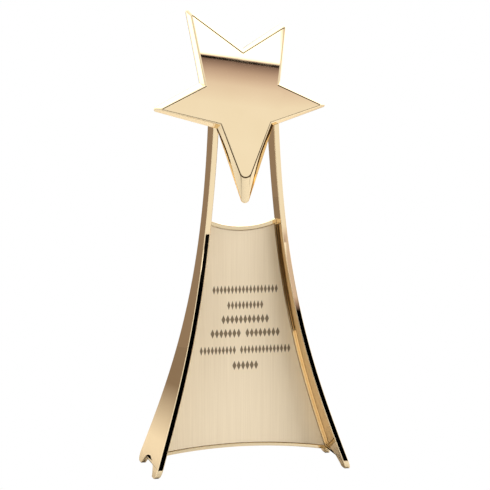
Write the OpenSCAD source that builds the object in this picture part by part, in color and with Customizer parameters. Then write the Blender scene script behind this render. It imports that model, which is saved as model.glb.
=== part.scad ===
// Star tower trophy: two flared blade legs carry a framed engraving plate and, in front of
// their tops, a five-pointed star. Millimetres, +Z up, -Y is the front. The origin is on the
// surface that the feet stand on, midway between the four toes.

/* [Blade legs] */
// Height of the leg tops, behind the star
leg_top_z = 204; // [203:0.5:208]
// Half the outer width across the leg tops
leg_top_x = 17.8; // [16:0.1:20]
// Half the outer width across the feet
foot_x = 55.6; // [50:0.1:60]
// Thickness of the blade metal
blade_t = 3; // [2:0.1:4]
// Half the depth of a blade at its waist
waist_half_depth = 7.2; // [7.1:0.1:9]
// Height of the waist
waist_z = 150; // [140:1:160]
// Half the depth of a blade at its top
top_half_depth = 8.5; // [8:0.1:10]
// Half the depth that a blade's edges would reach at the ground
foot_half_depth = 27.6; // [26:0.1:32]
// Exponent of the flare from waist to foot
flare_power = 1.88; // [1.6:0.01:2.2]

/* [Feet] */
// Radius of each toe
toe_r = 4.5; // [2:0.1:5]
// Height of the arch cut between the two toes of a leg
arch_h = 7.5; // [5:0.1:8]
// Radius of that arch
arch_r = 24; // [20:0.5:26]

/* [Frame] */
// Front face of the frame, behind the middle of the legs
frame_front_y = 2.85; // [0:0.05:3]
// Back face of the frame
frame_back_y = 7; // [6.5:0.1:7.1]
// Lowest point of the crossbar's top edge
crossbar_top_z = 134.4; // [130:0.1:138]
// Radius of the crossbar's sagging top edge
crossbar_r = 50; // [45:1:70]
// Height of the crossbar's face
crossbar_h = 2.1; // [1.5:0.1:4]
// Highest point of the bottom bar's underside
bottom_bar_z = 9.8; // [9:0.1:14]
// Radius of the bottom bar's arched underside
bottom_bar_r = 290; // [260:5:340]
// Height of the bottom bar's face
bottom_bar_h = 1.8; // [1.2:0.1:3]
// Width of each side rail's face
rail_w = 1.2; // [0.8:0.1:2]

/* [Engraving plate] */
// How far the plate's face lies behind the frame's face
plate_recess = 0.5; // [0.3:0.05:0.8]
// Thickness of the plate
plate_t = 0.8; // [0.5:0.1:1]
// Clearance round the plate
plate_gap = 0.25; // [0.15:0.05:0.4]
// Thickness of the adhesive sheet behind the plate
adhesive_t = 0.3; // [0.2:0.05:0.5]
// Margin of the adhesive sheet inside the plate's edge
adhesive_margin = 1.5; // [1:0.1:4]

/* [Star] */
// Thickness of the star's straight rim
star_rim_t = 0.6; // [0.4:0.1:1]
// Depth of the bevel from the rim to the flat face
star_bevel_t = 5; // [4.5:0.1:6]

/* [Star fixing] */
// Height of the screw centres
screw_z = 200; // [199:0.5:200]
// Distance of each screw from the middle
screw_x = 8; // [6:0.5:9]
// Diameter of the screws
screw_d = 3; // [2.5:0.5:3]
// Diameter of the screw heads
screw_head_d = 5.5; // [5:0.1:6]
// Height of the screw heads
screw_head_h = 2; // [1.6:0.1:2.5]
// Width across the corners of the hexagon socket in each head
socket_d = 2.3; // [2:0.1:2.6]
// Depth of the threaded holes in the star's back
thread_depth = 4; // [3:0.1:4]
// Radial clearance of the screws in the bridge bar
screw_clearance = 0.2; // [0.1:0.05:0.3]
// Thickness of the bridge bar between the leg tops
bridge_t = 3; // [2:0.1:4]
// Height of the bridge bar
bridge_h = 8; // [7:0.1:8]

/* [Hidden] */

gold = [0.90, 0.78, 0.56];
brushed_gold = [0.88, 0.80, 0.65];
steel = [0.72, 0.72, 0.73];
tape = [0.93, 0.93, 0.90];

leg_steps = 48;
edge_steps = 32;
toe_steps = 8;
tip_steps = 6;
round_fn = 180;
small_fn = 48;
past = 1;
reach = 80;

star_back_y = -top_half_depth;
star_rim_y = star_back_y - star_rim_t;
star_face_y = star_rim_y - star_bevel_t;
bridge_back_y = star_back_y + bridge_t;
plate_front_y = frame_front_y + plate_recess;
plate_back_y = plate_front_y + plate_t;
panel_front_y = plate_back_y + adhesive_t;
crossbar_centre_z = crossbar_top_z + crossbar_r;
bottom_bar_centre_z = bottom_bar_z - bottom_bar_r;

// The leg's outer line, seen from the front, is one Bezier curve from the top to the foot.
leg_line = [[leg_top_x, leg_top_z], [22.1, 99], [36.7, 56], [foot_x, 0]];

// Corners of the star's outline and of its flat face: [x, z, tip radius]. The star leans and
// its five arms differ, with the lowest arm drawn out into a long point.
star_outline = [[-34.8, 255.7, 1.4], [-2.2, 233.0, 0], [22.8, 248.8, 1.5], [18.7, 214.9, 0],
                [46.0, 201.6, 1.2], [14.8, 190.8, 0], [-1.1, 143.0, 2.5], [-16.8, 189.4, 0],
                [-53.9, 199.7, 1.3], [-26.6, 214.2, 0]];
star_flat = [[-32.3, 251.8, 0.8], [-3.4, 230.8, 0], [20.4, 245.2, 0.8], [16.5, 213.2, 0],
             [41.6, 201.9, 0.8], [12.2, 192.4, 0], [-1.9, 156.8, 3.4], [-15.7, 191.8, 0],
             [-49.6, 200.1, 0.8], [-24.2, 212.8, 0]];
star_centre = [-3, 206];

function unit(v) = v / norm(v);
function turn(a, b) = sign(a[0] * b[1] - a[1] * b[0]);

// A corner of an outline: the point itself, or an arc of the given radius across it.
function corner(before, here, after, r) = r == 0 ? [here]
    : let (a = unit(before - here), b = unit(after - here), half = acos(a * b) / 2,
           centre = here + unit(a + b) * r / sin(half), from = here + a * r / tan(half) - centre,
           start = atan2(from[1], from[0]), sweep = turn(-a, b) * (180 - 2 * half))
      [for (i = [0 : tip_steps]) let (angle = start + sweep * i / tip_steps)
          centre + r * [cos(angle), sin(angle)]];
function xz(p) = [p[0], p[1]];
function rounded(points) = let (n = len(points)) [for (i = [0 : n - 1])
    each corner(xz(points[(i + n - 1) % n]), xz(points[i]), xz(points[(i + 1) % n]), points[i][2])];

// A point of a cubic Bezier curve, and the direction in which the curve runs there.
function bezier(p, t) = pow(1 - t, 3) * p[0] + 3 * pow(1 - t, 2) * t * p[1]
                      + 3 * (1 - t) * t * t * p[2] + pow(t, 3) * p[3];
function bezier_way(p, t) = unit(pow(1 - t, 2) * (p[1] - p[0]) + 2 * (1 - t) * t * (p[2] - p[1])
                               + t * t * (p[3] - p[2]));

// The leg's line moved inward by a distance. It runs one step past both ends, to be trimmed.
function leg_points(inset) = [for (i = [-1 : leg_steps + 1])
    let (t = i / leg_steps, way = bezier_way(leg_line, t))
    bezier(leg_line, t) + inset * [way[1], -way[0]]];

// Half the depth of a blade at height z.
function half_depth(z) = z < waist_z
    ? waist_half_depth + (foot_half_depth - waist_half_depth) * pow(1 - z / waist_z, flare_power)
    : waist_half_depth + (top_half_depth - waist_half_depth)
      * pow((z - waist_z) / (leg_top_z - waist_z), 2);

// Each toe is an arc that leaves the blade's edge and meets the ground, both smoothly.
toe_slope = atan((half_depth(0) - half_depth(2 * toe_r)) / (2 * toe_r));
toe_top_z = toe_r * (1 + sin(toe_slope));
toe_centre_y = half_depth(toe_top_z) - toe_r * cos(toe_slope);
function edge_points(side) = concat(
    [for (i = [0 : edge_steps - 1]) let (z = leg_top_z + (toe_top_z - leg_top_z) * i / edge_steps)
        [side * half_depth(z), z]],
    [for (i = [0 : toe_steps]) let (angle = toe_slope - (90 + toe_slope) * i / toe_steps)
        [side * (toe_centre_y + toe_r * cos(angle)), toe_r + toe_r * sin(angle)]]);

function mirrored(points) = [for (i = [len(points) - 1 : -1 : 0]) [-points[i][0], points[i][1]]];
function at_depth(points, y) = [for (p = points) [p[0], y, p[1]]];
function reversed(points) = [for (i = [len(points) - 1 : -1 : 0]) points[i]];

// A flat XZ shape made solid from one depth to another.
module slab(from_y, to_y) {
    translate([0, to_y, 0]) rotate([90, 0, 0]) linear_extrude(to_y - from_y) children();
}

// A round bar along Y from one depth to another.
module bar_y(x, z, d, from_y, to_y, fn = small_fn) {
    translate([x, to_y, z]) rotate([90, 0, 0]) cylinder(d = d, h = to_y - from_y, $fn = fn);
}

// Everything at both screw places.
module both_screws() {
    for (side = [-1, 1]) translate([side * screw_x, 0, screw_z]) children();
}

// One blade leg on the +X side: a bent strip cut to the blade's side view, with the foot arch.
module leg() {
    color(gold) difference() {
        intersection() {
            slab(-reach, reach) polygon(concat(leg_points(0), reversed(leg_points(blade_t))));
            rotate([90, 0, 90]) linear_extrude(reach)
                polygon(concat(edge_points(1), reversed(edge_points(-1))));
        }
        translate([0, 0, arch_h - arch_r]) rotate([0, 90, 0])
            cylinder(r = arch_r, h = reach, $fn = round_fn);
    }
}

// The space between the legs' inner faces, less a margin on each side.
module between_legs(margin = 0) {
    polygon(concat(leg_points(blade_t + margin), mirrored(leg_points(blade_t + margin))));
}

// The frame's opening: between the legs, under the crossbar and over the bottom bar.
module opening(side_margin, arc_margin) {
    difference() {
        between_legs(side_margin);
        translate([0, crossbar_centre_z])
            circle(crossbar_r + crossbar_h + arc_margin, $fn = round_fn);
        translate([0, bottom_bar_centre_z])
            circle(bottom_bar_r + bottom_bar_h + arc_margin, $fn = round_fn);
    }
}

// A curved bar between the legs: part of a ring about a point in the middle plane.
module ring_bar(centre_z, inner_r, height) {
    color(gold) slab(frame_front_y, frame_back_y) intersection() {
        between_legs();
        translate([0, centre_z]) difference() {
            circle(inner_r + height, $fn = round_fn);
            circle(inner_r, $fn = round_fn);
        }
    }
}

module rail(side) {
    color(gold) slab(frame_front_y, frame_back_y) intersection() {
        difference() {
            opening(0, 0);
            between_legs(rail_w);
        }
        translate([min(0, side * reach), 0]) square([reach, leg_top_z]);
    }
}

// The star's solid: a rim and a bevel round a flat face. Each end is a fan of triangles about
// a centre from which every edge of the outline can be seen.
module star() {
    outline = rounded(star_outline);
    flat = rounded(star_flat);
    n = len(outline);
    points = concat(at_depth(outline, star_back_y), at_depth(outline, star_rim_y),
                    at_depth(flat, star_face_y),
                    at_depth([star_centre], star_back_y), at_depth([star_centre], star_face_y));
    faces = [for (i = [0 : n - 1]) let (j = (i + 1) % n)
        each [[i, n + j, n + i], [i, j, n + j], [n + i, 2 * n + j, 2 * n + i], [n + i, n + j, 2 * n + j],
              [3 * n, j, i], [3 * n + 1, 2 * n + i, 2 * n + j]]];
    color(gold) difference() {
        polyhedron(points, faces);
        both_screws() bar_y(0, 0, screw_d, star_back_y - thread_depth, star_back_y + past);
    }
}

module star_bridge() {
    color(gold) difference() {
        slab(star_back_y, bridge_back_y) intersection() {
            between_legs();
            translate([-reach, screw_z - bridge_h / 2]) square([2 * reach, bridge_h]);
        }
        both_screws() bar_y(0, 0, screw_d + 2 * screw_clearance, star_back_y - past, bridge_back_y + past);
    }
}

module star_screws() {
    color(steel) both_screws() difference() {
        union() {
            bar_y(0, 0, screw_d, star_back_y - thread_depth, bridge_back_y);
            bar_y(0, 0, screw_head_d, bridge_back_y, bridge_back_y + screw_head_h);
        }
        bar_y(0, 0, socket_d, bridge_back_y + screw_head_h / 2, bridge_back_y + screw_head_h + past, 6);
    }
}

module left_leg() { mirror([1, 0, 0]) leg(); }
module right_leg() { leg(); }
module top_crossbar() { ring_bar(crossbar_centre_z, crossbar_r, crossbar_h); }
module bottom_bar() { ring_bar(bottom_bar_centre_z, bottom_bar_r, bottom_bar_h); }
module left_rail() { rail(-1); }
module right_rail() { rail(1); }
module backing_panel() { color(gold) slab(panel_front_y, frame_back_y) opening(rail_w, 0); }
module adhesive_sheet() {
    color(tape) slab(plate_back_y, panel_front_y)
        opening(rail_w + plate_gap + adhesive_margin, plate_gap + adhesive_margin);
}
module engraving_plate() {
    color(brushed_gold) slab(plate_front_y, plate_back_y) opening(rail_w + plate_gap, plate_gap);
}

star();
star_bridge();
star_screws();
left_leg();
right_leg();
top_crossbar();
bottom_bar();
left_rail();
right_rail();
backing_panel();
adhesive_sheet();
engraving_plate();
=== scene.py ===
import math

import bmesh
import bpy
import numpy as np
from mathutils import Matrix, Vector
from mathutils.geometry import delaunay_2d_cdt


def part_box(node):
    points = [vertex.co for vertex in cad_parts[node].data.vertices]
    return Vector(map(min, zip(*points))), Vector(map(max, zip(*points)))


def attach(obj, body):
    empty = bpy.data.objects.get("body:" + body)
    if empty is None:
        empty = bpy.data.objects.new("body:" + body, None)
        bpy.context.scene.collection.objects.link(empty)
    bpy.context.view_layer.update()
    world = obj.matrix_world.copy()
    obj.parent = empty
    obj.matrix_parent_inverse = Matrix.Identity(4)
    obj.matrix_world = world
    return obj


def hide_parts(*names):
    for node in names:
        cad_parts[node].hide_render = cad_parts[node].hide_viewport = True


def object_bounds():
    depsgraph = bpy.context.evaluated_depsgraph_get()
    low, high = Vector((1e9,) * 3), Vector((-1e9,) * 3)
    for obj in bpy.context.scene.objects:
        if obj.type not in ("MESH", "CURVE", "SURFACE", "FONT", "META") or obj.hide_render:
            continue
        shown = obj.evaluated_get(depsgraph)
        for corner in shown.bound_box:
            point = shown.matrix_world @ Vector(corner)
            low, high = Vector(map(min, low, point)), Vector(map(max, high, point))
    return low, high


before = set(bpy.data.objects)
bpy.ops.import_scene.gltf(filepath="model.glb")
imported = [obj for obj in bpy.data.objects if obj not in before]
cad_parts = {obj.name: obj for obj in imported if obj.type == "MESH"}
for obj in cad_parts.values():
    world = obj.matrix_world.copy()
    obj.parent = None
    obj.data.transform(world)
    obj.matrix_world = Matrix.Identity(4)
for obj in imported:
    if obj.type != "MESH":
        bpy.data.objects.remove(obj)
cad_low, cad_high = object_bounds()

# The star trophy's looks, built round the CAD frame. The shape values below are in millimetres,
# and points are scaled to metres as each mesh is made. +Z is up, -Y is the front.
MM = 0.001


def box_mm(node):
    """A CAD node's lowest and highest corner, in millimetres."""
    low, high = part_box(node)
    return low / MM, high / MM


# ---------------------------------------------------------------- dimensions
BLADE_T = 3.0  # thickness of the blade metal
BLADE_EDGE = 0.45  # rounding of the blades' polished edges
LEG_HIGH = box_mm("right_leg")[1]
LEG_TOP_Z = LEG_HIGH.z
LEG_LINE = ((17.8, LEG_TOP_Z), (22.1, 99.0), (36.7, 56.0), (LEG_HIGH.x, 0.0))
WAIST_Z, WAIST_HALF_DEPTH = 150.0, 7.2
TOP_HALF_DEPTH, FOOT_HALF_DEPTH, FLARE_POWER = 8.5, 27.6, 1.88
TOE_R, ARCH_H, ARCH_R = 4.5, 7.5, 24.0

FRAME_FRONT_Y = box_mm("top_crossbar")[0].y
FRAME_BACK_Y = box_mm("top_crossbar")[1].y
CROSSBAR_R, CROSSBAR_H, CROSSBAR_TOP_Z = 50.0, 2.1, 134.4
BOTTOM_BAR_R, BOTTOM_BAR_H, BOTTOM_BAR_Z = 290.0, 1.8, 9.8
RAIL_W, BAR_EDGE = 1.2, 0.22
SEAM = 0.05  # how far a brazed bar's end runs into the blade beside it

PLATE_FRONT_Y = box_mm("engraving_plate")[0].y
PLATE_BACK_Y = box_mm("engraving_plate")[1].y
PLATE_GAP, PLATE_EDGE = 0.25, 0.12
PANEL_FRONT_Y = box_mm("backing_panel")[0].y
PANEL_BACK_Y = box_mm("backing_panel")[1].y

STAR_FACE_Y = box_mm("star")[0].y
STAR_BACK_Y = box_mm("star")[1].y
STAR_RIM_T = 0.6  # thickness of the star at its outline
# How far the star's edges are rounded: into the flat face, onto the sloping border, back from the
# border's outer edge, onto the side wall, and round the back.
FACE_ROUND, SLOPE_ROUND, RIM_ROUND, WALL_ROUND, BACK_ROUND = 0.75, 1.1, 1.6, 0.42, 0.15
# Corners of the star's outline and of its flat face: across, up, tip radius.
STAR_OUTLINE = ((-34.8, 255.7, 1.4), (-2.2, 233.0, 0), (22.8, 248.8, 1.5), (18.7, 214.9, 0),
                (46.0, 201.6, 1.2), (14.8, 190.8, 0), (-1.1, 143.0, 2.5), (-16.8, 189.4, 0),
                (-53.9, 199.7, 1.3), (-26.6, 214.2, 0))
STAR_FLAT = ((-32.3, 251.8, 0.8), (-3.4, 230.8, 0), (20.4, 245.2, 0.8), (16.5, 213.2, 0),
             (41.6, 201.9, 0.8), (12.2, 192.4, 0), (-1.9, 156.8, 3.4), (-15.7, 191.8, 0),
             (-49.6, 200.1, 0.8), (-24.2, 212.8, 0))

BRIDGE_LOW, BRIDGE_HIGH = box_mm("star_bridge")
BRIDGE_EDGE = 0.3
SCREW_X, SCREW_D, SCREW_HEAD_D, SCREW_HEAD_H, SOCKET_D = 8.0, 3.0, 5.5, 2.0, 2.3
SCREW_Z = (BRIDGE_LOW.z + BRIDGE_HIGH.z) / 2
SCREW_CLEARANCE, SCREW_EDGE, THREAD_DEPTH = 0.2, 0.3, 4.0
SOCKET_POINT = 0.25  # how far the drill's point goes past the socket's walls
SCREW_STEPS, SCREW_SHARP_ANGLE = 48, 35.0
SHARP_ANGLE = 30.0  # two sides of an outline that turn more than this meet in a crisp corner


# ---------------------------------------------------------------- outlines
def unit(v):
    return v / max(np.linalg.norm(v), 1e-12)


def arc(centre, radius, start, end, steps):
    """Points of a circle from one angle to another, in degrees."""
    angles = np.radians(np.linspace(start, end, steps + 1))
    return [np.array((centre[0] + radius * math.cos(a), centre[1] + radius * math.sin(a)))
            for a in angles]


def rounded(points, steps=10):
    """A closed outline of (across, up, radius) corners, each with a radius cut by an arc."""
    made = []
    for i, (a, b, r) in enumerate(points):
        here = np.array((a, b))
        if r == 0:
            made.append(here)
            continue
        before = unit(np.array(points[i - 1][:2]) - here)
        after = unit(np.array(points[(i + 1) % len(points)][:2]) - here)
        half = math.acos(float(before @ after)) / 2
        centre = here + unit(before + after) * r / math.sin(half)
        first, last = here + before * r / math.tan(half), here + after * r / math.tan(half)
        start = math.atan2(*(first - centre)[::-1])
        sweep = math.atan2(*(last - centre)[::-1]) - start
        sweep = (sweep + math.pi) % (2 * math.pi) - math.pi
        made += arc(centre, r, math.degrees(start), math.degrees(start + sweep), steps)
    return made


def leg_table(inset, steps=300):
    """The leg's line moved inward: heights, distances from the middle and the outward tilt."""
    t = np.linspace(1.02, -0.02, steps)[:, None]
    p = [np.array(q) for q in LEG_LINE]
    point = (1 - t) ** 3 * p[0] + 3 * (1 - t) ** 2 * t * p[1] + 3 * (1 - t) * t**2 * p[2] + t**3 * p[3]
    way = (1 - t) ** 2 * (p[1] - p[0]) + 2 * (1 - t) * t * (p[2] - p[1]) + t**2 * (p[3] - p[2])
    way /= np.linalg.norm(way, axis=1)[:, None]
    point = point + inset * np.stack((way[:, 1], -way[:, 0]), axis=1)
    return point[:, 1], point[:, 0], np.arctan2(way[:, 0], -way[:, 1])


LEG_TABLES = {}  # made once for each inset


def leg_at(inset, z):
    """Distance from the middle, and outward tilt in radians, of the leg's moved line at height z."""
    key = round(inset, 6)
    if key not in LEG_TABLES:
        LEG_TABLES[key] = leg_table(inset)
    heights, across, tilt = LEG_TABLES[key]
    return float(np.interp(z, heights, across)), float(np.interp(z, heights, tilt))


def half_depth(z):
    """Half of a blade's depth, front to back, at height z."""
    if z < WAIST_Z:
        return WAIST_HALF_DEPTH + (FOOT_HALF_DEPTH - WAIST_HALF_DEPTH) * (1 - z / WAIST_Z) ** FLARE_POWER
    share = (z - WAIST_Z) / (LEG_TOP_Z - WAIST_Z)
    return WAIST_HALF_DEPTH + (TOP_HALF_DEPTH - WAIST_HALF_DEPTH) * share**2


def leg_outline():
    """A blade's side view (depth, height), counter-clockwise from the top right, and how many
    points each long side has."""
    slope = math.degrees(math.atan((half_depth(0) - half_depth(2 * TOE_R)) / (2 * TOE_R)))
    toe_top = TOE_R * (1 + math.sin(math.radians(slope)))
    toe_y = half_depth(toe_top) - TOE_R * math.cos(math.radians(slope))
    arch_z = ARCH_H - ARCH_R
    arch_half = math.degrees(math.acos(-arch_z / ARCH_R))
    side = [np.array((half_depth(z), z)) for z in np.linspace(toe_top, LEG_TOP_Z, 150)]
    toe = arc((toe_y, TOE_R), TOE_R, -90, slope, 12)[:-1]
    mirror = [np.array((-p[0], p[1])) for p in reversed(side)]
    mirror_toe = [np.array((-p[0], p[1])) for p in reversed(toe)]
    arch = arc((0, arch_z), ARCH_R, 90 + arch_half, 90 - arch_half, 40)
    return mirror + mirror_toe + arch + toe + side, len(side)


def crossbar_arc(radius):
    """The sagging curve of the crossbar, as height over distance from the middle."""
    return lambda x: CROSSBAR_TOP_Z + CROSSBAR_R - math.sqrt(radius**2 - x**2)


def bottom_bar_arc(radius):
    """The arched curve of the bottom bar, as height over distance from the middle."""
    return lambda x: BOTTOM_BAR_Z - BOTTOM_BAR_R + math.sqrt(radius**2 - x**2)


def meet(inset, height):
    """Where the leg's moved line meets a curve given as height over distance from the middle."""
    # Any start inside the frame will do, and each round brings z much closer.
    z = height(40.0)
    for _ in range(40):
        z = height(leg_at(inset, z)[0])
    return leg_at(inset, z)[0], z


def between_legs(left, right, lower, upper, steps=60, side_steps=60):
    """An outline (across, up) between two moved leg lines, a lower and an upper curve. left and
    right are (side, inset), where side is -1 or 1."""
    (l_side, l_inset), (r_side, r_inset) = left, right
    low_l, low_r = meet(l_inset, lower), meet(r_inset, lower)
    top_l, top_r = meet(l_inset, upper), meet(r_inset, upper)

    def along(curve, x0, x1):
        return [np.array((x, curve(x))) for x in np.linspace(x0, x1, steps)]

    def up(side, inset, z0, z1):
        return [np.array((side * leg_at(inset, z)[0], z)) for z in np.linspace(z0, z1, side_steps)[1:-1]]

    return (along(lower, l_side * low_l[0], r_side * low_r[0])
            + up(r_side, r_inset, low_r[1], top_r[1])
            + along(upper, r_side * top_r[0], l_side * top_l[0])
            + up(l_side, l_inset, top_l[1], low_l[1]))


# ---------------------------------------------------------------- meshes
def fill(loops):
    """Triangles (index tuples, counter-clockwise) that fill an outline, less its holes."""
    points = [Vector(p) for loop in loops for p in loop]
    faces, first = [], 0
    for loop in loops:
        ids = list(range(first, first + len(loop)))
        # Holes run clockwise, and the triangulation wants every face counter-clockwise.
        faces.append(ids[::-1] if faces else ids)
        first += len(loop)
    made = delaunay_2d_cdt(points, [], faces, 0, 1e-7)
    origin = [ids[0] if ids else None for ids in made[3]]
    return [tuple(origin[v] for v in f) for f, inside in zip(made[2], made[5])
            if 0 in inside and len(inside) == 1]


def segment_normals(loop):
    """Each segment's outward normal, for a loop with its material on the left."""
    return [unit(np.array(((q - p)[1], -(q - p)[0]))) for p, q in zip(loop, loop[1:] + loop[:1])]


def inset_loop(loop, distance):
    """A loop with every side moved inward."""
    normals = segment_normals(loop)
    return [p - distance * (normals[i - 1] + normals[i]) / (1 + float(normals[i - 1] @ normals[i]))
            for i, p in enumerate(loop)]


def edge_rings(thick, edge, steps):
    """(inset, depth, turn) of each ring across the rim, from the front face to the back face."""
    turns = np.linspace(0, math.pi / 2, steps + 1)
    front = [(edge * (1 - math.sin(a)), edge * (1 - math.cos(a)), a) for a in turns]
    return front + [(d, thick - s, math.pi - a) for d, s, a in reversed(front)]


def thick_sheet(loops, thick, edge, place, outward, rim, caps=None, steps=4):
    """Points, faces and corner normals of a solid with two faces an even distance apart and
    rounded edges between them. place(a, b, depth) gives a point, outward(a, b, depth) the
    outer face's normal and rim(n) the outline normal's direction in space."""
    verts, faces, normals = [], [], []
    rings = edge_rings(thick, edge, steps)
    flat_points = [[p for loop in loops for p in inset_loop(loop, d)] for d, _, _ in rings]
    for points, (_, depth, _) in zip(flat_points, rings):
        verts += [place(p[0], p[1], depth) for p in points]
    count = len(flat_points[0])
    caps = caps or fill([inset_loop(loop, edge) for loop in loops])
    last = len(rings) - 1
    for cap in caps:
        faces.append(tuple(cap))
        normals += [outward(*flat_points[0][v], 0) for v in cap]
        faces.append(tuple(v + last * count for v in reversed(cap)))
        normals += [-outward(*flat_points[last][v], thick) for v in reversed(cap)]
    first = 0
    for loop in loops:
        across, n = segment_normals(loop), len(loop)
        for i in range(n):
            j = (i + 1) % n
            ends = []
            for k, other in ((i, i - 1), (j, j)):
                same = float(across[i] @ across[other]) > math.cos(math.radians(SHARP_ANGLE))
                ends.append(unit(across[i] + across[other]) if same else across[i])
            for r in range(last):
                corners = ((r, i, 0), (r + 1, i, 0), (r + 1, j, 1), (r, j, 1))
                faces.append(tuple(q * count + first + k for q, k, _ in corners))
                for q, k, end in corners:
                    turn, p = rings[q][2], flat_points[q][first + k]
                    normals.append(math.cos(turn) * outward(p[0], p[1], rings[q][1])
                                   + math.sin(turn) * Vector(rim(ends[end])))
        first += n
    return verts, faces, normals


def mirrored(data):
    """The same solid on the other side of the middle plane."""
    verts, faces, normals = data
    flipped, at = [], 0
    for f in faces:
        flipped += reversed(normals[at:at + len(f)])
        at += len(f)
    other_side = Vector((-1, 1, 1))
    return ([Vector(v) * other_side for v in verts], [tuple(reversed(f)) for f in faces],
            [Vector(n) * other_side for n in flipped])


def add_piece(name, data, material, node, extra=()):
    """Makes a mesh object from points, faces and corner normals, and sets it in the frame."""
    verts, faces, normals = data
    mesh = bpy.data.meshes.new(name)
    mesh.from_pydata([Vector(v) * MM for v in verts], [], faces)
    mesh.polygons.foreach_set("use_smooth", [True] * len(faces))
    for m in (material, *extra):
        mesh.materials.append(m)
    if normals:
        mesh.normals_split_custom_set([n.normalized() for n in normals])
    obj = bpy.data.objects.new(name, mesh)
    bpy.context.scene.collection.objects.link(obj)
    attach(obj, "root")
    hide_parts(node)
    return obj


def slab_data(loops, front_y, back_y, edge):
    """A flat solid between two depths, its outline seen from the front."""
    return thick_sheet(loops, back_y - front_y, edge,
                       lambda a, b, depth: Vector((a, front_y + depth, b)),
                       lambda a, b, depth: Vector((0, -1, 0)),
                       lambda n: (n[0], 0, n[1]))


# ---------------------------------------------------------------- materials
def new_material(name):
    """A Principled material, its node tree and its shader."""
    material = bpy.data.materials.new(name)
    material.use_nodes = True
    tree = material.node_tree
    return material, tree, tree.nodes["Principled BSDF"]


def add_node(tree, kind, **settings):
    """A node, with its inputs or its own properties set by name."""
    node = tree.nodes.new(kind)
    for key, value in settings.items():
        if key in node.inputs:
            node.inputs[key].default_value = value
        else:
            setattr(node, key, value)
    return node


def noise(tree, scale, detail=2.0):
    """Noise over the object's own coordinates, stretched by scale in each direction."""
    coords = add_node(tree, "ShaderNodeTexCoord")
    mapping = add_node(tree, "ShaderNodeMapping")
    mapping.inputs["Scale"].default_value = scale
    texture = add_node(tree, "ShaderNodeTexNoise", Scale=1.0, Detail=detail)
    tree.links.new(coords.outputs["Object"], mapping.inputs["Vector"])
    tree.links.new(mapping.outputs["Vector"], texture.inputs["Vector"])
    return texture.outputs["Fac"]


def spread(tree, value, low, high):
    """Value's usual range, about 0.3 to 0.7 for noise, moved to low and high."""
    node = add_node(tree, "ShaderNodeMapRange")
    for key, number in (("From Min", 0.3), ("From Max", 0.7), ("To Min", low), ("To Max", high)):
        node.inputs[key].default_value = number
    tree.links.new(value, node.inputs["Value"])
    return node.outputs["Result"]


def math_node(tree, operation, *values):
    """A sum on numbers and sockets."""
    node = add_node(tree, "ShaderNodeMath", operation=operation)
    for socket, value in zip(node.inputs, values):
        if isinstance(value, (int, float)):
            socket.default_value = value
        else:
            tree.links.new(value, socket)
    return node.outputs[0]


def between(tree, value, start, end):
    """0 where value is at start, 1 where it is at end, and even in between."""
    node = add_node(tree, "ShaderNodeMapRange")
    node.inputs["From Min"].default_value, node.inputs["From Max"].default_value = start, end
    tree.links.new(value, node.inputs["Value"])
    return node.outputs["Result"]


def mixed(tree, factor, first, second):
    """First where factor is 0, second where it is 1. Each is a colour or a socket."""
    mix = add_node(tree, "ShaderNodeMix", data_type="RGBA")
    for key, value in (("Factor", factor), ("A", first), ("B", second)):
        if isinstance(value, tuple):
            mix.inputs[key].default_value = (*value, 1)
        else:
            tree.links.new(value, mix.inputs[key])
    return mix.outputs["Result"]


def scaled(tree, colour, factor):
    """A colour made brighter or darker by a factor."""
    node = add_node(tree, "ShaderNodeVectorMath", operation="SCALE")
    tree.links.new(colour, node.inputs[0])
    tree.links.new(factor, node.inputs["Scale"])
    return node.outputs[0]


def ramp(tree, value, stops):
    """Brightness as a curve of value: stops are (value, brightness), in rising order."""
    low, high = stops[0][0], stops[-1][0]
    peak = max(bright for _, bright in stops)
    share = math_node(tree, "DIVIDE", math_node(tree, "SUBTRACT", value, low), high - low)
    node = add_node(tree, "ShaderNodeValToRGB")
    elements = node.color_ramp.elements
    elements.remove(elements[1])
    elements[0].position = 0.0
    # A new stop is sorted into place at once, so each one is made where it belongs.
    made = [elements[0]] + [elements.new((at - low) / (high - low)) for at, _ in stops[1:]]
    for element, (_, bright) in zip(made, stops):
        element.color = (bright / peak, bright / peak, bright / peak, 1)
    tree.links.new(share, node.inputs["Fac"])
    return math_node(tree, "MULTIPLY", node.outputs["Color"], peak)


def bump(tree, shader, height, strength, distance):
    """Relief on the shader's normal, from a height and its distance in metres."""
    node = add_node(tree, "ShaderNodeBump", Strength=strength, Distance=distance)
    tree.links.new(height, node.inputs["Height"])
    tree.links.new(node.outputs["Normal"], shader.inputs["Normal"])


def matt(name, colour):
    """A flat colour with no shine, for what only shows in reflections."""
    material, _, shader = new_material(name)
    shader.inputs["Base Color"].default_value = (*colour, 1)
    shader.inputs["Roughness"].default_value = 1.0
    shader.inputs["Specular IOR Level"].default_value = 0.0
    return material


def polished_gold():
    """Mirror-polished pale gold plating, faintly cloudy in its colour and its gloss."""
    material, tree, shader = new_material("polished_gold")
    shader.inputs["Metallic"].default_value = 1.0
    shader.inputs["Specular Tint"].default_value = (1.0, 0.88, 0.72, 1)
    cloud = spread(tree, noise(tree, (60, 60, 60), 3.0), 0, 1)
    gloss = spread(tree, noise(tree, (120, 120, 120), 2.0), 0.008, 0.014)
    tree.links.new(mixed(tree, cloud, (0.885, 0.715, 0.455), (0.905, 0.735, 0.475)),
                   shader.inputs["Base Color"])
    tree.links.new(gloss, shader.inputs["Roughness"])
    return material


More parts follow.
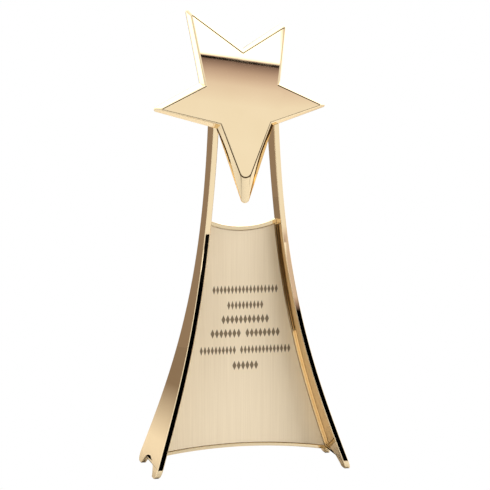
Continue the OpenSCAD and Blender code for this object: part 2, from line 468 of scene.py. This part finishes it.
def brushed_gold():
    """The engraving sheet: satin metal with a fine vertical grain."""
    material, tree, shader = new_material("brushed_gold")
    shader.inputs["Metallic"].default_value = 0.4
    shader.inputs["Anisotropic"].default_value = 0.6
    grain = noise(tree, (1500, 1500, 22), 3.0)
    broad = noise(tree, (420, 420, 6), 2.0)
    lines = math_node(tree, "ADD", math_node(tree, "MULTIPLY", grain, 0.75),
                      math_node(tree, "MULTIPLY", broad, 0.25))
    tree.links.new(mixed(tree, spread(tree, lines, 0, 1), (0.86, 0.72, 0.51), (0.94, 0.805, 0.59)),
                   shader.inputs["Base Color"])
    tree.links.new(spread(tree, lines, 0.34, 0.46), shader.inputs["Roughness"])
    bump(tree, shader, grain, 0.25, 0.00002)
    return material


def mottled(name, metallic, scale, detail, colours, roughness):
    """A material whose colour and roughness both vary with one noise."""
    material, tree, shader = new_material(name)
    shader.inputs["Metallic"].default_value = metallic
    mottle = noise(tree, (scale, scale, scale), detail)
    tree.links.new(mixed(tree, spread(tree, mottle, 0, 1), *colours), shader.inputs["Base Color"])
    tree.links.new(spread(tree, mottle, *roughness), shader.inputs["Roughness"])
    return material


GOLD, BRUSHED = polished_gold(), brushed_gold()
# Matt brown where the surface has been cut, plain steel, and off-white tape.
ENGRAVED = mottled("engraved", 0.35, 1800, 2.0, ((0.20, 0.145, 0.085), (0.28, 0.21, 0.13)), (0.55, 0.75))
STEEL = mottled("screw_steel", 1.0, 700, 3.0, ((0.50, 0.50, 0.51), (0.62, 0.62, 0.63)), (0.22, 0.36))
TAPE = mottled("adhesive", 0.0, 300, 3.0, ((0.80, 0.80, 0.75), (0.87, 0.87, 0.82)), (0.6, 0.8))


# ---------------------------------------------------------------- legs
def leg_data():
    """The right blade: its side view, bent along the leg's line."""
    outline, side = leg_outline()
    total = len(outline)
    # The two long sides are joined by level strips, and the foot below them by one face.
    # The left side runs down from the top, and the right side runs up to it.
    caps = [(side - 1 - k, total - side + k, total - side + k + 1, side - 2 - k)
            for k in range(side - 1)]
    caps.append(tuple(range(side - 1, total - side + 1)))

    def place(a, b, depth):
        return Vector((leg_at(depth, b)[0], a, b))

    def outward(a, b, depth):
        tilt = leg_at(depth, b)[1]
        return Vector((math.cos(tilt), 0, math.sin(tilt)))

    return thick_sheet([outline], BLADE_T, BLADE_EDGE, place, outward,
                       lambda n: (0, n[0], n[1]), caps)


RIGHT_LEG = leg_data()
add_piece("right_blade", RIGHT_LEG, GOLD, "right_leg")
add_piece("left_blade", mirrored(RIGHT_LEG), GOLD, "left_leg")


# ---------------------------------------------------------------- frame
def frame_bar(name, node, left, right, lower, upper, **options):
    """A bar or rail of the frame, between two leg lines and two curves."""
    outline = between_legs(left, right, lower, upper, **options)
    add_piece(name, slab_data([outline], FRAME_FRONT_Y, FRAME_BACK_Y, BAR_EDGE),
              GOLD, node)


FULL = BLADE_T - SEAM  # where a bar's end stops inside the blade
frame_bar("crossbar", "top_crossbar", (-1, FULL), (1, FULL),
          crossbar_arc(CROSSBAR_R + CROSSBAR_H), crossbar_arc(CROSSBAR_R), side_steps=3)
frame_bar("lower_bar", "bottom_bar", (-1, FULL), (1, FULL),
          bottom_bar_arc(BOTTOM_BAR_R), bottom_bar_arc(BOTTOM_BAR_R + BOTTOM_BAR_H), side_steps=3)
for node, name, sides in (("left_rail", "rail_left", ((-1, FULL), (-1, BLADE_T + RAIL_W))),
                          ("right_rail", "rail_right", ((1, BLADE_T + RAIL_W), (1, FULL)))):
    frame_bar(name, node, *sides, bottom_bar_arc(BOTTOM_BAR_R + BOTTOM_BAR_H),
              crossbar_arc(CROSSBAR_R + CROSSBAR_H), steps=3)


def opening(margin, gap):
    """The frame's opening, less a margin at each side and a gap at the top and the bottom."""
    return between_legs((-1, BLADE_T + margin), (1, BLADE_T + margin),
                        bottom_bar_arc(BOTTOM_BAR_R + BOTTOM_BAR_H + gap),
                        crossbar_arc(CROSSBAR_R + CROSSBAR_H + gap))


add_piece("back_panel", slab_data([opening(RAIL_W, 0)], PANEL_FRONT_Y, PANEL_BACK_Y, PLATE_EDGE),
          GOLD, "backing_panel")


# ---------------------------------------------------------------- engraving plate
# Rows of plain lozenges stand where the engraving is: centre height, row length, lozenge
# width, lozenge height, pitch, and the places of the gaps as shares of the row.
MARK_DEPTH = 0.12
MARK_MIDDLE = 1.9  # the rows are centred a little right of the middle
MARK_ROWS = ((98.9, 38.0, 1.75, 5.0, 2.1, ()), (90.1, 22.0, 1.75, 5.0, 2.1, ()),
             (82.1, 29.4, 2.3, 5.2, 2.5, ()), (74.3, 41.6, 2.3, 5.2, 2.5, (0.42,)),
             (64.8, 53.4, 1.75, 5.0, 2.1, (0.40,)), (56.0, 16.4, 2.3, 5.2, 2.5, ()))


def marks():
    """The lozenges' outlines, clockwise."""
    made = []
    for z, length, width, height, pitch, gaps in MARK_ROWS:
        count = int(length / pitch)
        blank = {round(g * count) for g in gaps}
        for i in range(count):
            if i in blank:
                continue
            x = MARK_MIDDLE + (i - (count - 1) / 2) * pitch
            made.append([np.array(p) for p in ((x, z + height / 2), (x + width / 2, z),
                                                (x, z - height / 2), (x - width / 2, z))])
    return made


def plate_data():
    """The plate's solid with the marks sunk into its front, and how many faces are plate."""
    outline, cut = opening(RAIL_W + PLATE_GAP, PLATE_GAP), marks()
    verts, faces, normals = slab_data([outline], PLATE_FRONT_Y, PLATE_BACK_Y, PLATE_EDGE)
    front = fill([inset_loop(outline, PLATE_EDGE)] + cut)
    count = len(outline)
    base = len(verts)
    verts += [Vector((p[0], PLATE_FRONT_Y, p[1])) for loop in cut for p in loop]
    # The plain front is swapped for one with the marks left open.
    kept_faces, kept_normals, at = [], [], 0
    for f in faces:
        if max(f) >= count:
            kept_faces.append(f)
            kept_normals += normals[at:at + len(f)]
        at += len(f)
    out = Vector((0, -1, 0))
    for f in front:
        kept_faces.append(tuple(v if v < count else base + v - count for v in f))
        kept_normals += [out] * len(f)
    plain = len(kept_faces)
    bottom = len(verts)
    verts += [Vector((p[0], PLATE_FRONT_Y + MARK_DEPTH, p[1])) for loop in cut for p in loop]
    for m, loop in enumerate(cut):
        across = segment_normals(loop)
        for i in range(len(loop)):
            j, at = (i + 1) % len(loop), m * len(loop)
            kept_faces.append((base + at + i, bottom + at + i, bottom + at + j, base + at + j))
            kept_normals += [Vector((across[i][0], 0, across[i][1]))] * 4
        kept_faces.append(tuple(bottom + m * len(loop) + i for i in reversed(range(len(loop)))))
        kept_normals += [out] * len(loop)
    return (verts, kept_faces, kept_normals), plain


plate, plain_faces = plate_data()
engraving = add_piece("engraved_plate", plate, BRUSHED, "engraving_plate",
                      extra=(ENGRAVED,))
for polygon in engraving.data.polygons[plain_faces:]:
    polygon.material_index = 1


# ---------------------------------------------------------------- star and its fixing
def turned(start, corner, end, steps):
    """Points and directions of a curve that leaves start for a corner and bends to end."""
    made = []
    for t in np.linspace(0, 1, steps + 1):
        point = start * (1 - t) ** 2 + corner * 2 * t * (1 - t) + end * t**2
        made.append((point, ((corner - start) * (1 - t) + (end - corner) * t).normalized()))
    return made


def star_profile(flat, inner, edge, back, steps=10):
    """The star's skin at one place of its outline, from its flat face round to its back: points
    and directions. flat, inner, edge and back are (across, up) places at that spot."""
    face = Vector((flat[0], STAR_FACE_Y, flat[1]))
    rim = Vector((edge[0], STAR_BACK_Y - STAR_RIM_T, edge[1]))
    corner = Vector((edge[0], STAR_BACK_Y, edge[1]))
    slope, wall = (rim - face).normalized(), Vector((0, 1, 0))
    return (turned(Vector((inner[0], STAR_FACE_Y, inner[1])), face, face + slope * SLOPE_ROUND, steps)
            + turned(rim - slope * RIM_ROUND, rim, rim + wall * WALL_ROUND, steps)
            + turned(corner - wall * BACK_ROUND, corner, Vector((back[0], STAR_BACK_Y, back[1])), steps))


def star_data():
    """A flat face inside a sloping border, with rounded edges and corner normals."""
    # Both outlines run clockwise seen from the front, so they are turned round.
    edge, flat = rounded(STAR_OUTLINE)[::-1], rounded(STAR_FLAT)[::-1]
    n = len(edge)
    profiles = [star_profile(*spots) for spots in zip(flat, inset_loop(flat, FACE_ROUND), edge,
                                                      inset_loop(edge, BACK_ROUND))]
    rings = len(profiles[0])
    verts = [profiles[i][r][0] for r in range(rings) for i in range(n)]
    faces, normals = [tuple(range(n))], [Vector((0, -1, 0))] * n
    faces.append(tuple((rings - 1) * n + i for i in reversed(range(n))))
    normals += [Vector((0, 1, 0))] * n
    way = [unit(edge[(i + 1) % n] - edge[i]) for i in range(n)]

    def along(i, other):
        """The outline's direction at one end of side i, shared with its neighbour on a bend."""
        same = float(way[i] @ way[other]) > math.cos(math.radians(SHARP_ANGLE))
        v = way[i] + way[other] if same else way[i]
        return Vector((v[0], 0, v[1])).normalized()

    for i in range(n):
        j = (i + 1) % n
        ends = ((i, along(i, i - 1)), (j, along(i, j)))
        for r in range(rings - 1):
            faces.append((r * n + i, (r + 1) * n + i, (r + 1) * n + j, r * n + j))
            for q, end in ((r, 0), (r + 1, 0), (r + 1, 1), (r, 1)):
                k, direction = ends[end]
                normals.append(profiles[k][q][1].cross(direction).normalized())
    return verts, faces, normals


def recalculated(obj):
    """Turns every face of a closed mesh outward."""
    mesh = bmesh.new()
    mesh.from_mesh(obj.data)
    bmesh.ops.recalc_face_normals(mesh, faces=mesh.faces)
    mesh.to_mesh(obj.data)
    mesh.free()
    return obj


add_piece("cast_star", star_data(), GOLD, "star")


def circle_loop(x, z, radius, steps=32):
    """A hole's outline, clockwise."""
    return list(reversed(arc((x, z), radius, 0, 360 * (1 - 1 / steps), steps - 1)))


def bridge_data():
    """The bar between the leg tops, with a clearance hole for each screw."""
    corners = [np.array(p) for p in ((BRIDGE_LOW.x, BRIDGE_LOW.z), (BRIDGE_HIGH.x, BRIDGE_LOW.z),
                                     (BRIDGE_HIGH.x, BRIDGE_HIGH.z), (BRIDGE_LOW.x, BRIDGE_HIGH.z))]
    holes = [circle_loop(side * SCREW_X, SCREW_Z, SCREW_D / 2 + SCREW_CLEARANCE) for side in (-1, 1)]
    return slab_data([corners, *holes], BRIDGE_LOW.y, BRIDGE_HIGH.y, BRIDGE_EDGE)


add_piece("bridge_bar", bridge_data(), GOLD, "star_bridge")


def screw_data(x):
    """A socket screw along Y: its profile is turned, and the socket is a six-sided recess."""
    head_y, tip_y = BRIDGE_HIGH.y, STAR_BACK_Y - THREAD_DEPTH
    back_y, head_r, thread_r = head_y + SCREW_HEAD_H, SCREW_HEAD_D / 2, SCREW_D / 2
    socket_y = back_y - SCREW_HEAD_H / 2
    profile = [(0.0, tip_y), (thread_r - SCREW_EDGE, tip_y), (thread_r, tip_y + SCREW_EDGE),
               (thread_r, head_y), (head_r - SCREW_EDGE / 2, head_y), (head_r, head_y + SCREW_EDGE / 2),
               (head_r, back_y - SCREW_EDGE), (head_r - SCREW_EDGE / 3, back_y - SCREW_EDGE / 3),
               (head_r - SCREW_EDGE, back_y)]
    socket = [(SOCKET_D / 2, back_y), (SOCKET_D / 2, socket_y), (0.0, socket_y - SOCKET_POINT)]
    verts, rings = [], []
    for i, (r, y) in enumerate(profile + socket):
        if r == 0:
            # All of this ring is the one point on the axis.
            rings.append([len(verts)] * SCREW_STEPS)
            verts.append(Vector((x, y, SCREW_Z)))
            continue
        ring = []
        for k in range(SCREW_STEPS):
            angle = 2 * math.pi * k / SCREW_STEPS
            radius = r
            if i >= len(profile):
                turn = (angle + math.pi / 6) % (math.pi / 3) - math.pi / 6
                radius = r * math.cos(math.pi / 6) / math.cos(turn)
            ring.append(len(verts))
            verts.append(Vector((x + radius * math.cos(angle), y, SCREW_Z + radius * math.sin(angle))))
        rings.append(ring)
    faces = []
    for low, high in zip(rings, rings[1:]):
        for k in range(SCREW_STEPS):
            j = (k + 1) % SCREW_STEPS
            # A ring of one point makes triangles.
            faces.append(tuple(dict.fromkeys((low[k], low[j], high[j], high[k]))))
    return verts, faces, None


for side, name in ((-1, "screw_left"), (1, "screw_right")):
    screw = recalculated(add_piece(name, screw_data(side * SCREW_X), STEEL, "star_screws"))
    screw.data.set_sharp_from_angle(angle=math.radians(SCREW_SHARP_ANGLE))

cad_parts["adhesive_sheet"].data.materials.clear()
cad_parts["adhesive_sheet"].data.materials.append(TAPE)


# ---------------------------------------------------------------- floor, light and camera
# From here on, distances are in metres and angles in degrees.
TABLE_HALF_WIDTH, TABLE_BACK_Y, TABLE_FRONT_Y = 0.75, 1.15, -1.6
# Dark cards just over the table in front: one right across, and one nearer at each side.
CARDS = (((-0.5, 0.75), (-0.85, -0.28)), ((-0.5, -0.13), (-0.28, -0.12)), ((0.22, 0.6), (-0.28, -0.12)))
CARD_HEIGHT = 0.002
# One more card stands upright: across, up, and how far in front.
UPRIGHT_CARD = ((0.165, 0.196), (0.107, 0.148), 1.0)

# The room's angles are an elevation, and an azimuth that is 0 in front, +90 at the right and
# 180 behind. The star's face shows the part of the room round FACE_AZIMUTH.
FACE_AZIMUTH = 13.0
STRIP_SLOPE = 0.142  # how much lower the bright strip's edge gets for each degree to the right
STRIP_END = (14.35, 14.5)  # the azimuths where the bright strip fades out
# How far round from FACE_AZIMUTH the side walls fade in, and out again.
FRONT_EDGES, BACK_EDGES = (42.0, 60.0), (158.0, 167.0)
SCREEN_LIGHT = 1.3

KEY_PLACE, KEY_SIZE, KEY_ENERGY = (0.22, -0.26, 0.50), 0.34, 3.9

CAMERA_YAW, CAMERA_PITCH, CAMERA_DISTANCE = math.radians(13.246), math.radians(6.038), 0.9916
CAMERA_SENSOR, CAMERA_LENS, CAMERA_SHIFT_Y = 36.0, 131.72, -0.0146
AIM = Vector((0, -0.0041, 0.5067 * cad_high.z))


def unseen_sheet(name, x, y, z):
    """A level sheet that shows only in the metal: the backdrop stands in for it behind the
    object, so there is no edge and no shadow, as on a lit white sweep."""
    mesh = bpy.data.meshes.new(name)
    corners = [(x[0], y[0], z), (x[1], y[0], z), (x[1], y[1], z), (x[0], y[1], z)]
    mesh.from_pydata(corners, [], [(0, 1, 2, 3)])
    obj = bpy.data.objects.new(name, mesh)
    bpy.context.scene.collection.objects.link(obj)
    obj.visible_camera = False
    return obj


def cards():
    """The dark cards draw dark lines along the polished edges."""
    material = matt("studio_card", (0.045, 0.034, 0.024))
    for i, (x, y) in enumerate(CARDS):
        unseen_sheet(f"studio_card_{i + 1}", x, y, CARD_HEIGHT).data.materials.append(material)
    # The upright one darkens the upper part of the left blade's front edge. It is made lying
    # down, and its height above the table is its Y until it is turned up.
    standing = unseen_sheet("studio_card_upright", *UPRIGHT_CARD)
    standing.rotation_euler.x = math.radians(90)
    standing.data.materials.append(matt("studio_card_black", (0.003, 0.003, 0.003)))


def floor():
    """A pale table top with painted light: it glows more with distance from the object, a painted glow
    that leaves it dimmer near the object, and its front half is a darker grey than its back, a painted
    shade. It fades to brown, with no glow, towards its back edge."""
    material, tree, shader = new_material("studio_floor")
    shader.inputs["Roughness"].default_value = 1.0
    shader.inputs["Specular IOR Level"].default_value = 0.0
    coords = add_node(tree, "ShaderNodeTexCoord")
    split = add_node(tree, "ShaderNodeSeparateXYZ")
    length = add_node(tree, "ShaderNodeVectorMath", operation="LENGTH")
    tree.links.new(coords.outputs["Object"], split.inputs[0])
    tree.links.new(coords.outputs["Object"], length.inputs[0])
    lit = between(tree, split.outputs["Y"], 0.8, 0.25)
    # Painted shade: the table is a darker grey in front of the object than behind it.
    pale = mixed(tree, between(tree, split.outputs["Y"], -0.1, 0.1),
                 (0.40, 0.40, 0.40), (0.56, 0.56, 0.56))
    tree.links.new(mixed(tree, lit, (0.20, 0.165, 0.14), pale), shader.inputs["Base Color"])
    tree.links.new(mixed(tree, lit, (0.0, 0.0, 0.0), (1.0, 1.0, 1.0)), shader.inputs["Emission Color"])
    # Painted light: the glow grows with distance from the object, so the table is dimmer near it.
    glow = math_node(tree, "MULTIPLY", between(tree, length.outputs["Value"], 0.1, 1.1), 0.28)
    tree.links.new(glow, shader.inputs["Emission Strength"])
    table = unseen_sheet("studio_floor", (-TABLE_HALF_WIDTH, TABLE_HALF_WIDTH),
                         (TABLE_FRONT_Y, TABLE_BACK_Y), 0.0)
    table.data.materials.append(material)


def studio():
    """A studio as seen in the metal. In front, upward from the table: a thin dark line, a bright
    strip, a dark panel and the ceiling. The walls at the sides are bright, with brighter screens
    towards the back, and the wall right behind is brown. The camera sees only plain white."""
    world = bpy.data.worlds.new("studio")
    bpy.context.scene.world = world
    world.use_nodes = True
    tree = world.node_tree
    tree.nodes.clear()
    coords = add_node(tree, "ShaderNodeTexCoord")
    split = add_node(tree, "ShaderNodeSeparateXYZ")
    tree.links.new(coords.outputs["Generated"], split.inputs[0])
    x, y, z = split.outputs
    elevation = math_node(tree, "DEGREES", math_node(tree, "ARCSINE", z))
    forward = math_node(tree, "MULTIPLY", y, -1.0)
    azimuth = math_node(tree, "DEGREES", math_node(tree, "ARCTAN2", x, forward))
    aside = math_node(tree, "SUBTRACT", azimuth, FACE_AZIMUTH)
    off_axis = math_node(tree, "ABSOLUTE", aside)
    # The dark line and the strip slope a little across the front.
    lean = math_node(tree, "MULTIPLY", aside, STRIP_SLOPE)
    strip = ramp(tree, math_node(tree, "ADD", elevation, lean),
                 ((-3.0, 1.0), (-1.8, 0.98), (-1.2, 0.80), (-0.75, 0.45), (-0.46, 0.17), (-0.43, 0.0),
                  (-0.37, 0.0), (-0.33, 1.3), (-0.28, 2.2), (1.5, 2.2), (1.7, 0.0)))
    ceiling = ramp(tree, elevation, ((46.0, 0.0), (52.0, 1.6)))
    # The bright strip and the line under it end at the right.
    plain_strip = ramp(tree, elevation, ((-1.9, 0.97), (-1.1, 0.62), (3.6, 0.62), (4.6, 0.0)))
    ended = between(tree, azimuth, *STRIP_END)
    step = math_node(tree, "MULTIPLY", math_node(tree, "SUBTRACT", plain_strip, strip), ended)
    front = math_node(tree, "ADD", math_node(tree, "ADD", strip, step), ceiling)
    # What is dim there is warm.
    warmth = mixed(tree, between(tree, front, 0.0, 1.0), (1.45, 1.0, 0.97), (1.0, 1.0, 1.0))
    warm_front = scaled(tree, warmth, front)
    walls = ramp(tree, elevation, ((-90.0, 0.9), (-20.0, 0.8), (0.0, 0.85), (40.0, 1.15), (90.0, 1.2)))
    # Two bright screens stand behind, left and right, and a small one stands lower at the left.
    # The star's borders see them from the front.
    screens = ramp(tree, azimuth, ((-180.0, SCREEN_LIGHT), (-126.0, SCREEN_LIGHT), (-118.0, 0.0),
                                   (98.0, 0.0), (106.0, SCREEN_LIGHT), (180.0, SCREEN_LIGHT)))
    reach = ramp(tree, elevation, ((-3.0, 0.0), (-0.5, 1.0), (60.0, 1.0), (75.0, 0.0)))
    walls = math_node(tree, "ADD", walls, math_node(tree, "MULTIPLY", screens, reach))
    low_screen = ramp(tree, azimuth, ((-134.0, 0.0), (-131.0, SCREEN_LIGHT), (-121.0, SCREEN_LIGHT),
                                      (-118.0, 0.0)))
    low_reach = ramp(tree, elevation, ((-16.0, 0.0), (-12.0, 1.0), (-2.5, 1.0), (-1.0, 0.0)))
    walls = math_node(tree, "ADD", walls, math_node(tree, "MULTIPLY", low_screen, low_reach))
    brown = ramp(tree, elevation, ((-20.0, 1.0), (29.5, 1.0), (32.5, 0.0)))
    wall_behind = mixed(tree, between(tree, elevation, 0.0, 3.0),
                        (0.31, 0.255, 0.22), (0.02, 0.016, 0.012))
    behind = mixed(tree, brown, walls, wall_behind)
    sides = mixed(tree, between(tree, off_axis, *FRONT_EDGES), warm_front, walls)
    room = mixed(tree, between(tree, off_axis, *BACK_EDGES), sides, behind)
    path = add_node(tree, "ShaderNodeLightPath")
    seen, plain = add_node(tree, "ShaderNodeBackground"), add_node(tree, "ShaderNodeBackground")
    tree.links.new(room, seen.inputs["Color"])
    plain.inputs["Color"].default_value = (1, 1, 1, 1)
    blend = add_node(tree, "ShaderNodeMixShader")
    tree.links.new(path.outputs["Is Camera Ray"], blend.inputs["Fac"])
    tree.links.new(seen.outputs[0], blend.inputs[1])
    tree.links.new(plain.outputs[0], blend.inputs[2])
    out = add_node(tree, "ShaderNodeOutputWorld")
    tree.links.new(blend.outputs[0], out.inputs["Surface"])


def key_light():
    """A soft light, front right and above. It is hidden from reflections, so it lights only what
    is not all metal, such as the engraving plate."""
    data = bpy.data.lights.new("key_light", "AREA")
    data.size, data.energy = KEY_SIZE, KEY_ENERGY
    obj = bpy.data.objects.new("key_light", data)
    obj.location = KEY_PLACE
    obj.rotation_euler = (obj.location - AIM).to_track_quat("Z", "Y").to_euler()
    obj.visible_glossy = False
    bpy.context.scene.collection.objects.link(obj)


def camera():
    """Stands front left of the object and a little above its middle, looking slightly down."""
    data = bpy.data.cameras.new("camera")
    data.sensor_width, data.lens, data.shift_y = CAMERA_SENSOR, CAMERA_LENS, CAMERA_SHIFT_Y
    obj = bpy.data.objects.new("camera", data)
    back = Vector((-math.sin(CAMERA_YAW) * math.cos(CAMERA_PITCH),
                   -math.cos(CAMERA_YAW) * math.cos(CAMERA_PITCH), math.sin(CAMERA_PITCH)))
    obj.location = AIM + back * CAMERA_DISTANCE
    obj.rotation_euler = (-back).to_track_quat("-Z", "Y").to_euler()
    bpy.context.scene.collection.objects.link(obj)
    bpy.context.scene.camera = obj


floor()
cards()
studio()
key_light()
camera()
bpy.context.scene.view_settings.view_transform = "Standard"

bpy.context.view_layer.update()
